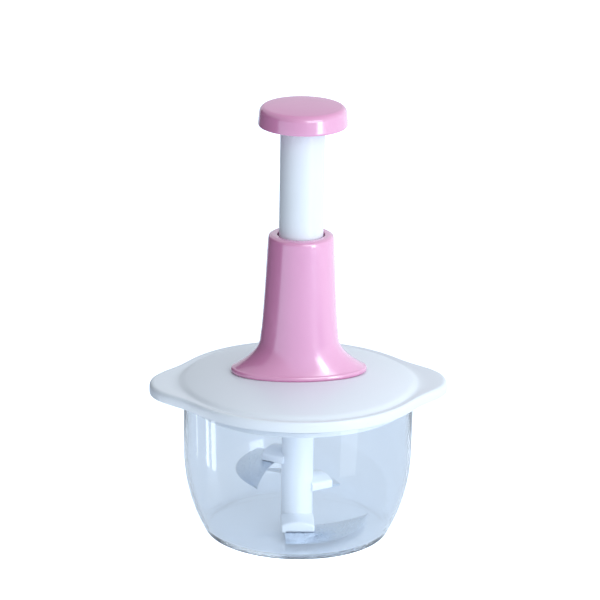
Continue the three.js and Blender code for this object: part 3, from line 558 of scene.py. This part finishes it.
def lid_points():
    """Rows (r, z, e, s, d): the radius at the angle a is r + e ear(a) + s (seat(a) - r), where seat(a) is
    the housing's ellipse, and the height is z, or where d is 1 the dome's height at that radius. The angles
    lie closer together at the ears."""
    skirt_inside = lid_radius - skirt_wall
    plate_under = band_height - lid_wall
    groove_radius = plug_radius - groove_depth
    plug_inside = plug_radius - plug_wall
    seat_under = seat_height - seat_floor
    well_outside = well_radius + well_wall
    dome = [(r, dome_at(r), 0, (round_from - r) / (round_from - seat_length), 1, 0)
            for r in np.linspace(seat_length, round_from, 8)]
    dome[0] = (*dome[0][:-1], 0.5)
    slope = [(r, dome_at(r), e, 0, 1, 2) for r, e in ((70, 0), (74, 0.02), (77.5, 0.07))]
    rim = [(valley_radius, band_height - valley_depth, 0.2, 0, 0, 1.4),
           (rim_radius, band_height - rim_drop, 0.75, 0, 0, 1.2),
           (lid_radius, band_height, 1, 0, 0, 3.2), (lid_radius, lid_bottom, 1, 0, 0, 1.0),
           (skirt_inside, lid_bottom, 1, 0, 0, 0.5), (skirt_inside, plate_under, 1, 0, 0, 0.8)]
    plug = [(plug_radius, plate_under, 0, 0, 0, 1.0), (plug_radius, groove_top, 0, 0, 0, 0.2),
            (groove_radius, groove_top, 0, 0, 0, 0.2), (groove_radius, groove_bottom, 0, 0, 0, 0.2),
            (plug_radius, groove_bottom, 0, 0, 0, 0.2), (plug_radius, plug_bottom, 0, 0, 0, 0.6),
            (plug_inside, plug_bottom, 0, 0, 0, 0.5),
            (plug_inside, dome_at(plug_inside) - lid_wall, 0, 0, 0, 2),
            (plug_fillet, dome_at(plug_fillet) - lid_wall, 0, 0, 0, 3)]
    well = [(seat_length, seat_under, 0, 0, 0, 2), (well_outside, seat_under, 0, 0, 0, 1),
            (well_outside, well_bottom, 0, 0, 0, 0.5), (well_radius, well_bottom, 0, 0, 0, 0.5),
            (well_radius, seat_under, 0, 0, 0, 0.8), (journal_hole, seat_under, 0, 0, 0, 0)]
    seat = [(journal_hole, seat_height, 0, 0, 0, 0), (seat_length, seat_height, 0, 1, 0, 0.2)]
    r, z, e, s, d = rounded(seat + dome + slope + rim + plug + well, True).T[:, :, None]
    even = turns(240)
    a = (even - 0.18 * np.sin(2 * even))[None, :]
    seat_at = 1 / np.sqrt((np.cos(a) / seat_length) ** 2 + (np.sin(a) / seat_width) ** 2)
    reach = r + e * ear_at(a) + s * (seat_at - r)
    return np.stack([reach * np.cos(a), reach * np.sin(a), z + d * (dome_at(reach) - dome_at(r))], -1)


lid = mesh_object("lid_moulding", [shell(lid_points(), True)])
fit(lid, white, "white_plastic", "lid", "lid")

# Lid seal
# A ring of soft, milky silicone rubber, moulded in one piece. It is stretched into the groove round the
# lid's plug wall, and its rounded nose closes the gap to the bowl's wall.
seal_radius = 76.5
seal_bevel = 0.75


def soft_rubber():
    """Silicone rubber: milky, dull, dusted with fine specks."""
    made = Finish("soft_seal_rubber", {"IOR": 1.42, "Subsurface Weight": 0.3, "Subsurface Scale": 0.002})
    specks = made.noise(700, 3.0)
    made.send("Base Color", made.blend(specks, (0.78, 0.81, 0.85), (0.84, 0.86, 0.90)))
    made.send("Roughness", between(specks, 0.5, 0.7))
    made.send("Normal", made.bump(specks, 0.03))
    return made


seal_inside = plug_radius - groove_depth + fit_gap
seal_shoulder = plug_radius + fit_gap
seal_bottom, seal_top = groove_bottom + fit_gap, groove_top - fit_gap
seal_rows = [(seal_inside, seal_bottom, 0.2), (seal_shoulder, seal_bottom, 0.4),
             (seal_radius, seal_bottom + seal_bevel, 0.5), (seal_radius, seal_top - seal_bevel, 0.5),
             (seal_shoulder, seal_top, 0.4), (seal_inside, seal_top, 0.2)]
rubber = soft_rubber()
seal = mesh_object("lid_seal_ring", [round_shell(seal_rows, 144, looped=True)])
fit(seal, rubber, "seal", "lid", "lid_seal")

# Hub cover and its screws
# A white moulded disc with an upright lip that closes the lid's well from below, held by three slotted
# steel screws. The drive's journal passes through its middle.
cover_radius = 31
cover_hole = 9.8
cover_bottom = 92.2
cover_top = 94.2
cover_lip = 1.6
screw_circle = 25.5
screw_radius = 1.4
screw_reach = 12
screw_tip = 1.6
head_radius = 3
head_face_radius = 2.1
head_bevel = 1.1
head_height = 2.2
slot_width = 0.8
slot_depth = 1

lip_inside = cover_radius - cover_lip
lip_top = cover_top + cover_lip
cover_rows = [(cover_hole, cover_bottom, 0.3), (lip_inside, cover_bottom, 0.8),
              (cover_radius, cover_bottom + cover_lip, 0.8), (cover_radius, lip_top, 0.4),
              (lip_inside, lip_top, 0.4), (lip_inside, cover_top, 0.3), (cover_hole, cover_top, 0.3)]
cover = mesh_object("hub_cover_disc", [round_shell(cover_rows, looped=True)])
fit(cover, white, "white_plastic", "lid", "hub_cover")


def block_points(x, y, z):
    """A block between the two values of each of x, y and z, as a four-cornered section carried upwards."""
    corners = np.array([(x[0], y[0]), (x[1], y[0]), (x[1], y[1]), (x[0], y[1])], float)
    rows = [np.concatenate([corners, np.full((4, 1), level)], 1) for level in z]
    return capped(np.stack(rows))


def screw(name, x, y, head_bottom):
    """A slotted screw with its head down: a turned profile, less a slot across the head."""
    neck = head_bottom + head_height
    tip = neck + screw_reach
    rows = [(0, head_bottom, 0), (head_face_radius, head_bottom, 0.5),
            (head_radius, head_bottom + head_bevel, 0.5), (head_radius, neck, 0.2),
            (screw_radius, neck, 0.2), (screw_radius, tip - screw_tip, 0.3), (0, tip, 0)]
    made = mesh_object(name, [round_shell(rows, 32, at=(x, y, 0))])
    slot = block_points((-2 * head_radius, 2 * head_radius), (-slot_width / 2, slot_width / 2),
                        (head_bottom - 2 * slot_depth, head_bottom + slot_depth))
    cut_out(made, mesh_object("slot", [shell(slot + np.array([x, y, 0]))]))
    return made


screw_steel = ground_steel("screw_steel", (1, 1, 1), (0.58, 0.60, 0.64), 0.3)
for number, g in enumerate(np.radians([90, 210, 330]), 1):
    place = screw_circle * np.cos(g), screw_circle * np.sin(g)
    fastener = screw(f"cover_screw_{number}_slotted", *place, cover_bottom - fit_gap - head_height)
    fit(fastener, screw_steel, "steel", "lid", f"cover_screw_{number}")

# Drive inside the lid and the tube
# The nut, the clutch's ratchet ring, the hub, the bush and the strip's holder are moulded from a natural,
# slippery plastic; the strip, washers, pin and screws are steel. Their CAD shapes are shown as they are.
# The two springs are wound from round steel wire.
spring_radius, spring_wire, spring_curls = 11.3, 0.75, 12
spring_bottom, spring_top = 115.6, 281.2
clutch_radius, clutch_wire, clutch_curls = 9.6, 0.35, 1.5
clutch_bottom, clutch_top = 98.1, 100.8


def dress(finish, *nodes):
    """Puts a finish on CAD nodes."""
    for node in nodes:
        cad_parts[node].material_slots[0].material = finish.material


def coil_points(radius, wire, bottom, top, curls, per_curl):
    """A round wire wound about Z: ((R + w cos b) cos a, (R + w cos b) sin a, h + w sin b), with h rising
    evenly."""
    a = np.linspace(0, 2 * np.pi * curls, int(curls * per_curl) + 1)[:, None]
    b = turns(12)[None, :]
    h = np.linspace(bottom + wire, top - wire, len(a))[:, None]
    reach = radius + wire * np.cos(b)
    return capped(np.stack([reach * np.cos(a), reach * np.sin(a), h + wire * np.sin(b)], -1))


natural = moulded("natural_sliding_plastic", (0.74, 0.76, 0.78), (0.80, 0.82, 0.83), 0.48, 0.03)
strip_steel = ground_steel("strip_steel", (2, 2, 0.3), (0.60, 0.62, 0.66), 0.24)
wire_steel = ground_steel("spring_wire_steel", (1, 1, 1), (0.50, 0.52, 0.56), 0.34)
dress(natural, "drive_nut", "ratchet_ring", "output_hub", "guide_bush", "strip_holder")
dress(strip_steel, "drive_strip", "anchor_pin")
dress(screw_steel, "thrust_washer", "spring_seat", *(f"bell_screw_{number}" for number in range(1, 5)))

spring_coil = coil_points(spring_radius, spring_wire, spring_bottom, spring_top, spring_curls, per_curl=36)
spring = mesh_object("return_spring_coil", [shell(spring_coil)])
fit(spring, wire_steel, "spring_steel", "lid", "return_spring")
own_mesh(spring)

clutch_coil = coil_points(clutch_radius, clutch_wire, clutch_bottom, clutch_top, clutch_curls, per_curl=48)
clutch = mesh_object("clutch_spring_coil", [shell(clutch_coil)])
fit(clutch, wire_steel, "spring_steel", "hub", "clutch_spring")
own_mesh(clutch)

# Bell housing
# The glossy pink moulding that stands in the lid's oval seat. Its hollow foot spreads in a round flare to
# a thick edge, its neck narrows to a round lip, and ribs inside keep the tube from turning.
bell_bottom = 114.1
bell_top = 212.2
bell_wall = 2.2
edge_length, edge_width = 46.6, 25.5
edge_top = bell_bottom + 3.8
flare_top = 140
flare_length, flare_width = 18, 1.8
flare_power = 2.2
neck_length, neck_width = 26.8, 22.6
neck_power = 0.7
neck_end = 206
top_radius = 22.4
lip_thickness = 4.2
lip_drop = 2.8
mouth_radius = 16.0
bush_seat_radius = 19.7
bush_bottom = 192.7
rib_top = 189.9
rib_inside = 16.6
rib_width = 2.4
post_radius = 3.3
post_bore = 1.7
post_top = 121.5
post_bore_top = 119.6
post_x, post_y = 28, 8


def spread_at(z):
    """Half length and half width at the height z. In the neck both run to the top's radius with a power of
    v, from 0 at its foot to 1 at the top. In the flare both grow with a power of u, from 0 at its top to 1
    at the edge."""
    v = np.clip((z - flare_top) / (bell_top - flare_top), 0, 1)
    u = np.clip((flare_top - z) / (flare_top - edge_top), 0, 1)
    up, out = v**neck_power, u**flare_power
    return np.stack([neck_length + (top_radius - neck_length) * up + flare_length * out,
                     neck_width + (top_radius - neck_width) * up + flare_width * out], 1)


def bell_points():
    """Rows (p, q, z) carried round as ellipses: P = (p cos a, q sin a, z). They run from the edge up the
    outside, over the lip, and down inside, a wall's thickness below the flare and inside the neck."""
    flare = flare_top - (flare_top - edge_top) * np.sin(np.linspace(0, np.pi / 2, 22))[::-1]
    outer_z = np.concatenate([flare[1:], np.linspace(flare_top, neck_end, 18)[1:]])
    outer = np.column_stack([spread_at(outer_z), outer_z, 0 * outer_z])
    inner_z = np.concatenate([[bush_bottom], flare[1:][::-1]])
    drop = bell_wall * (inner_z <= flare_top)
    inner = np.column_stack([spread_at(inner_z) - bell_wall, inner_z - drop, 0 * inner_z])
    edge = [(edge_length - 0.7, edge_width - 0.6, bell_bottom, 0.3),
            (edge_length, edge_width, bell_bottom + 0.7, 0.4),
            (edge_length, edge_width, edge_top - 1.4, 0.7),
            (edge_length - 0.5, edge_width - 0.4, edge_top - 0.4, 0.5)]
    lip = [(r, r, z, cut) for r, z, cut in (
        (top_radius, bell_top - lip_drop, 1.0), (top_radius - 0.4, bell_top - 1.1, 1.0),
        (top_radius - lip_drop, bell_top, 0.8), (mouth_radius + 0.6, bell_top, 0.4),
        (mouth_radius, bell_top - 0.6, 0.4), (mouth_radius, bell_top - lip_thickness, 0.3),
        (bush_seat_radius, bell_top - lip_thickness, 0.3))]
    foot = [(edge_length - bell_wall, edge_width - bell_wall, bell_bottom, 0)]
    p, q, z = rounded(np.concatenate([edge, outer, lip, inner, foot]), True).T[:, :, None]
    a = turns(144)[None, :]
    return np.stack([p * np.cos(a), q * np.sin(a), z + 0 * a], -1)


def rib_points(turn):
    """An upright rib inside the neck: its outline (y, z) follows the wall and is carried across in X."""
    z = np.linspace(edge_top, rib_top, 12)
    wall = spread_at(z)[:, 1] - bell_wall / 2
    outline = np.concatenate([np.stack([wall, z], 1), np.stack([rib_inside + 0 * z, z], 1)[::-1]])
    half = rib_width / 2
    rows = [np.concatenate([np.full((len(outline), 1), x), outline], 1) for x in (-half, half)]
    return laid_round(capped(np.stack(rows)), turn)


def post_points(x, y):
    """A post for a screw from below: a cup with its mouth at the bottom."""
    rows = [(post_radius, bell_bottom), (post_radius, post_top), (0, post_top),
            (0, post_bore_top), (post_bore, post_bore_top), (post_bore, bell_bottom)]
    return turned(rows, 24) + np.array([x, y, 0])


pink = moulded("pink_moulded_plastic", (0.76, 0.26, 0.50), (0.81, 0.30, 0.54), 0.18, 0.006, 1.0)
bell_shells = [shell(bell_points(), True), shell(rib_points(0)), shell(rib_points(180))]
for x in (-post_x, post_x):
    for y in (-post_y, post_y):
        bell_shells.append(shell(post_points(x, y), True))
bell = mesh_object("bell_housing_moulding", bell_shells)
fit(bell, pink, "pink_plastic", "lid", "bell_housing")

# Plunger tube
# A white moulded tube that slides through the housing's neck. Its foot has a stop flange with two notches
# for the ribs, and a steel pin crosses its head.
tube_radius = 15.1
tube_bore = 13.0
tube_bottom = 186.9
tube_top = 296.8
stop_radius = 18.6
stop_height = 3
cut_overrun = 2.4
anchor_height = 287.1
anchor_hole_radius = 1.8

stop_top = tube_bottom + stop_height
tube_rows = [(tube_bore, tube_bottom, 0.4), (stop_radius, tube_bottom, 0.5), (stop_radius, stop_top, 0.5),
             (tube_radius, stop_top, 0.3), (tube_radius, tube_top, 0.5), (tube_bore, tube_top, 0.3)]
tube = mesh_object("plunger_tube_slide", [round_shell(tube_rows, looped=True)])
notch_half_width = rib_width / 2 + fit_gap
notch_inside, notch_outside = rib_inside - fit_gap, stop_radius + cut_overrun
notch_low, notch_high = tube_bottom - cut_overrun, stop_top + cut_overrun
for side in (1, -1):
    y = sorted((side * notch_inside, side * notch_outside))
    notch = block_points((-notch_half_width, notch_half_width), y, (notch_low, notch_high))
    cut_out(tube, mesh_object("notch", [shell(notch)]))
end = tube_radius + cut_overrun
bar = turned([(0, -end), (anchor_hole_radius, -end), (anchor_hole_radius, end), (0, end)], 32)
crossing_bar = bar[..., [0, 2, 1]] + np.array([0, 0, anchor_height])
cut_out(tube, mesh_object("pin_hole", [shell(crossing_bar)]))
fit(tube, white, "white_plastic", "plunger", "plunger_tube")

# Knob
# A hollow pink cap, pressed over the tube's head and glossy like the housing. Its top is faintly crowned
# and rubbed dull by the palm, its shoulder is round, and its side widens a little to the rim.
knob_radius = 30.3
knob_rim = 288.3
knob_top = 302.4
crown_radius = 25.8
crown_drop = 0.85
shoulder_round = 4.4
shoulder_middle = 25.2
shoulder_top = 301.6
knob_ceiling = 299.2
ceiling_radius = 24.8
ceiling_bevel = 2.4
grip_radius = 17.6
grip_bottom = 289.9
rubbed_from, rubbed_to = 299.5, 301.8


def knob_rows():
    """From the crown's middle over the round shoulder and down the side, round the rim, up inside to the
    ceiling and down the socket that grips the tube. The crown sinks with (r / crown radius)^3."""
    r = np.linspace(0, crown_radius, 14)
    crown = np.stack([r, knob_top - crown_drop * (r / crown_radius) ** 3, 0 * r], 1)
    shoulder = arc(shoulder_middle, shoulder_top - shoulder_round, shoulder_round, 80, 4, count=12)
    side = [(knob_radius, knob_rim + 1.6, 0.8), (knob_radius - 0.1, knob_rim + 0.3, 0.6),
            (knob_radius - 1.2, knob_rim, 0.4), (knob_radius - 2.4, knob_rim + 0.6, 0.4)]
    grip_bore, grip_ceiling = tube_radius + fit_gap, tube_top + fit_gap
    inside = [(ceiling_radius + ceiling_bevel, knob_ceiling - ceiling_bevel, 1.5),
              (ceiling_radius, knob_ceiling, 1.5), (grip_radius, knob_ceiling, 0.8),
              (grip_radius, grip_bottom, 0.5), (grip_bore, grip_bottom, 0.3), (grip_bore, grip_ceiling, 0),
              (0, grip_ceiling, 0)]
    return np.concatenate([crown, shoulder, side, inside])


above_table = pink.add("SeparateXYZ", {}, {"Vector": pink.place}, "Z")
rubbed = {"From Min": rubbed_from * MM, "From Max": rubbed_to * MM, "To Min": 1.0, "To Max": 0.3}
pink.send("Coat Weight", pink.add("MapRange", {}, {"Value": above_table, **rubbed}))
knob = mesh_object("knob_cap", [round_shell(knob_rows(), 144)])
fit(knob, pink, "pink_plastic", "plunger", "knob")

# Table and studio
# A table with two tops in one place: lamps and the clear bowl meet a blue-grey one, and the view itself a
# white one. The daylight is bluish and comes from the front and the right. A black card stands close on the
# left and a bright one on the right, for their reflections.
table_radius = 6000
table_top, table_bottom = -0.3, -20
card_distance = 376
card_thickness = 4
card_back = 330
card_bottom, card_top = 1, 450
grey_white = (0.9, 0.9, 0.9)
daylight_colour = (0.86, 0.94, 1.0)


def stage_piece(name, points, colour, glow, **seen):
    """A piece of the studio, even in colour but for faint clouds."""
    finish = moulded(name, tuple(0.97 * part for part in colour), colour, 0.6)
    finish.send("Emission Color", (*daylight_colour, 1))
    finish.send("Emission Strength", glow)
    made = mesh_object(name, [shell(points)])
    made.data.materials.append(finish.material)
    for rays, shown in seen.items():
        setattr(made, "visible_" + rays, shown)


def side_card(side, front, turn):
    """An upright card from y = front to the cards' back, on the left where side is -1 and on the right
    where it is 1, then turned about Z."""
    x = sorted((side * card_distance, side * (card_distance + card_thickness)))
    return laid_round(block_points(x, (front, card_back), (card_bottom, card_top)), turn)


def window_pane(name, azimuth, reach, wide, low, high, glow):
    """A bright pane that stands by the bowl at an angle from the front, for its upright reflections."""
    pane = laid_round(block_points((-wide / 2, wide / 2), (-reach - 1, -reach), (low, high)), azimuth)
    stage_piece(name, pane, grey_white, glow, camera=False, diffuse=False, transmission=False, shadow=False)


table_rows = [(0, table_top), (table_radius, table_top), (table_radius, table_bottom), (0, table_bottom)]
table_disc = turned(table_rows)
stage_piece("blue_grey_table", table_disc, (0.62, 0.68, 0.78), 0.27, camera=False, shadow=False)
stage_piece("white_table", table_disc, grey_white, 0.93, diffuse=False, glossy=False, transmission=False,
            shadow=False)
stage_piece("black_card", side_card(-1, -330, -20), (0.03, 0.025, 0.03), 0, camera=False, shadow=False,
            transmission=False)
stage_piece("white_card", side_card(1, -820, 20), grey_white, 0.75, camera=False, shadow=False,
            diffuse=False, transmission=False)
window_pane("pane_left_1", azimuth=-83, reach=215, wide=20, low=1, high=66, glow=5)
window_pane("pane_left_2", azimuth=-91, reach=215, wide=13, low=1, high=66, glow=5)
window_pane("pane_left_3", azimuth=-108, reach=215, wide=6, low=1, high=66, glow=2)
window_pane("pane_right", azimuth=38, reach=225, wide=60, low=6, high=70, glow=1.6)


def aim(thing, place, target):
    """Puts a lamp at a place, in metres, looking at a target."""
    back = np.array(place, float) - np.array(target, float)
    back /= np.linalg.norm(back)
    right = np.cross([0, 0, 1], back)
    right /= np.linalg.norm(right)
    turn = np.eye(4)
    turn[:3, 0], turn[:3, 1], turn[:3, 2], turn[:3, 3] = right, np.cross(back, right), back, place
    thing.matrix_world = Matrix(turn.tolist())


def soft_box(name, place, target, wide, high, watts):
    """An oblong lamp with a soft face, its sizes in metres."""
    lamp = bpy.data.lights.new(name, "AREA")
    lamp.shape, lamp.size, lamp.size_y = "RECTANGLE", wide, high
    lamp.energy, lamp.color = watts, daylight_colour
    made = bpy.data.objects.new(name, lamp)
    bpy.context.scene.collection.objects.link(made)
    aim(made, place, target)


soft_box("broad_soft_box", place=(1.1, -2.3, 1.2), target=(0, 0, 0.15), wide=2.0, high=1.8, watts=18)
soft_box("tall_soft_box", place=(0.66, -0.78, 0.20), target=(0, 0, 0.16), wide=0.30, high=0.34, watts=1.2)


def daylight():
    """Bluish white light from all round. It grows with x in the direction (x, y, z) that it comes from."""
    world = bpy.data.worlds.new("daylight")
    world.use_nodes = True
    nodes = Nodes(world.node_tree)
    way = nodes.add("TexCoord", {}, {}, "Generated")
    x = nodes.add("VectorMath", {"operation": "DOT_PRODUCT"}, {0: way, 1: (1, 0, 0)}, "Value")
    strength = nodes.add("MapRange", {}, {"Value": x, "From Min": -1.0, "From Max": 0.8, "To Min": 0.35,
                                          "To Max": 1.2})
    sky = world.node_tree.nodes["Background"]
    nodes.feed(sky.inputs["Strength"], strength)
    nodes.feed(sky.inputs["Color"], (*daylight_colour, 1))
    bpy.context.scene.world = world


daylight()
bpy.context.scene.view_settings.view_transform = "Standard"

# Camera
# It stands 971 mm above the table and 2473 mm from the chopper's axis, 5.5 degrees to the left of its
# front. It looks down by 18.05 degrees and leans by 0.95 degrees.
camera_distance, camera_height = 2.4727, 0.9707
turn, down, lean = np.radians([-5.5, 18.05, 0.954])
focal_pixels = 3822
photo_pixels = 600
sensor_width = 36


def photo_camera():
    """The matrix's columns are right and up, turned by the lean about the third, which points back."""
    right = np.array([1, 0, 0])
    up = np.array([0, np.sin(down), np.cos(down)])
    matrix = np.eye(4)
    matrix[:3, 0] = right * np.cos(lean) + up * np.sin(lean)
    matrix[:3, 1] = up * np.cos(lean) - right * np.sin(lean)
    matrix[:3, 2] = 0, -np.cos(down), np.sin(down)
    matrix[:3, 3] = 0, -camera_distance, camera_height
    camera = bpy.data.objects.new("camera", bpy.data.cameras.new("camera"))
    camera.data.sensor_width, camera.data.lens = sensor_width, focal_pixels / photo_pixels * sensor_width
    camera.data.clip_start, camera.data.clip_end = 0.1, 100
    bpy.context.scene.collection.objects.link(camera)
    camera.matrix_world = Matrix.Rotation(turn, 4, "Z") @ Matrix(matrix.tolist())
    bpy.context.scene.camera = camera


photo_camera()
